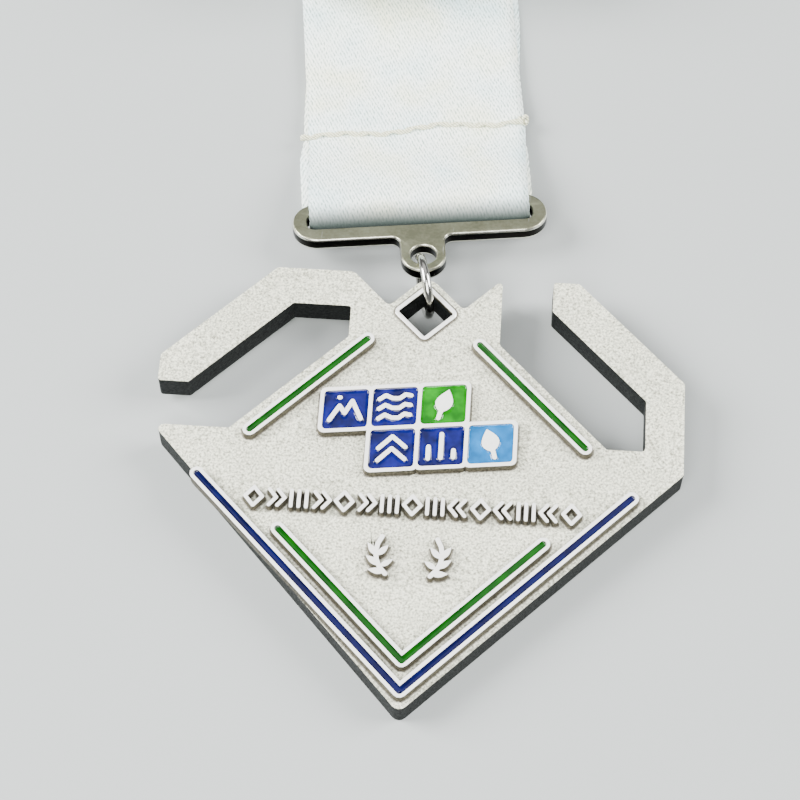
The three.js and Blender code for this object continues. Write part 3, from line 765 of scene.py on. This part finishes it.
# hand-sewn seam: two plies of cream thread laid across in overlapping stitches, with a knot at one end
def sewnLine(points, thickness):
    curve = bpy.data.curves.new("thread", "CURVE")
    curve.dimensions = "3D"
    curve.bevel_depth = thickness / 2
    curve.bevel_resolution = 3
    curve.use_fill_caps = True
    spline = curve.splines.new("POLY")
    spline.points.add(len(points) - 1)
    for knot, place in zip(spline.points, points):
        knot.co = (*place, 1)
    holder = bpy.data.objects.new("thread", curve)
    collection.objects.link(holder)
    mesh = bpy.data.meshes.new_from_object(holder)
    bpy.data.objects.remove(holder)
    return mesh


def seamPaths():
    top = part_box("seam_thread")[1].z - seam["thread"]
    reach = ribbon["width"] / 2 + seam["over"]
    paths = []
    for ply in (0, 1):
        points = []
        for i in range(seam["steps"] + 1):
            side = -reach + 2 * reach * i / seam["steps"]
            phase = math.pi * side / seam["stitch"] + ply * math.pi / 2
            along = seamAt(side) + seam["wander"] * math.sin(phase)
            points.append(ribbonPlace(along, top + seam["lift"] * math.cos(2 * phase), side))
        paths.append(points)
    for side, size in ((reach, seam["knot"]), (-reach, seam["smallKnot"])):
        centre = ribbonPlace(seamAt(side), top, side + math.copysign(size * 0.9, side))
        paths.append(tangle(centre, size))
    return paths


def tangle(centre, size):
    points = []
    for i in range(seam["knotSteps"]):
        turn = 2 * math.pi * i / seam["knotSteps"]
        points.append(centre + size * Vector((math.sin(3 * turn), math.sin(4 * turn + 0.6),
                                              0.7 * math.sin(5 * turn + 1.1))))
    return points


def twistedThread(name):
    # spun polyester thread: cream, matt, its plies showing as slanting ribs
    material, tree, shader = newMaterial(name, {"Roughness": 0.7, "Sheen Weight": 0.3})
    place = addNode(tree, "ShaderNodeTexCoord").outputs["Object"]
    plies = addNode(tree, "ShaderNodeTexWave",
                    {"bands_direction": "DIAGONAL", "Scale": waveScale(seam["ply"]), "Distortion": 2},
                    {"Vector": place})
    tint = addNode(tree, "ShaderNodeMix",
                   {"data_type": "RGBA", 6: linear("#a9ab8a"), 7: linear("#e6e5cc")},
                   {0: plies.outputs["Fac"]})
    bump = addNode(tree, "ShaderNodeBump", {"Strength": 0.4, "Distance": 0.05 * mm},
                   {"Height": plies.outputs["Fac"]})
    tree.links.new(tint.outputs[2], shader.inputs["Base Color"])
    tree.links.new(bump.outputs[0], shader.inputs["Normal"])
    return material


bm = bmesh.new()
for path in seamPaths():
    line = sewnLine(path, seam["thread"])
    bm.from_mesh(line)
    bpy.data.meshes.remove(line)
put(bm, "sewn_seam", "ribbon", [twistedThread("cream_thread")], sharpAngle=60,
    nodes=["seam_thread"])
print("seam sewn")

# table and light
table = {"size": 16, "colour": "#9a9e9d", "roughness": 0.75}
bm = bmesh.new()
bmesh.ops.create_grid(bm, x_segments=1, y_segments=1, size=table["size"] / 2)
mesh = bpy.data.meshes.new("table")
bm.to_mesh(mesh)
bm.free()
tableTop = bpy.data.objects.new("table", mesh)
collection.objects.link(tableTop)
plain, tree, shader = newMaterial("painted_table", {"Base Color": linear(table["colour"]),
                                                    "Roughness": table["roughness"]})
mesh.materials.append(plain)

lights = {
    "left": {"place": (-0.85, 0.05, 0.6), "size": 0.6, "power": 40},
    "right": {"place": (0.85, 0.15, 0.6), "size": 0.6, "power": 26},
    "front": {"place": (-0.1, -0.6, 0.75), "size": 0.6, "power": 16},
    "above": {"place": (0, 0.55, 0.95), "size": 1.1, "power": 4},
}
for name, light in lights.items():
    lamp = bpy.data.lights.new(name, "AREA")
    lamp.size = light["size"]
    lamp.energy = light["power"]
    softbox = bpy.data.objects.new(name, lamp)
    softbox.location = light["place"]
    softbox.rotation_euler = Vector(light["place"]).to_track_quat("Z", "Y").to_euler()
    collection.objects.link(softbox)
world = bpy.data.worlds.new("studio")
bpy.context.scene.world = world
world.use_nodes = True
world.node_tree.nodes["Background"].inputs["Color"].default_value = linear("#c4c6c6")
world.node_tree.nodes["Background"].inputs["Strength"].default_value = 0.4
print("lit")
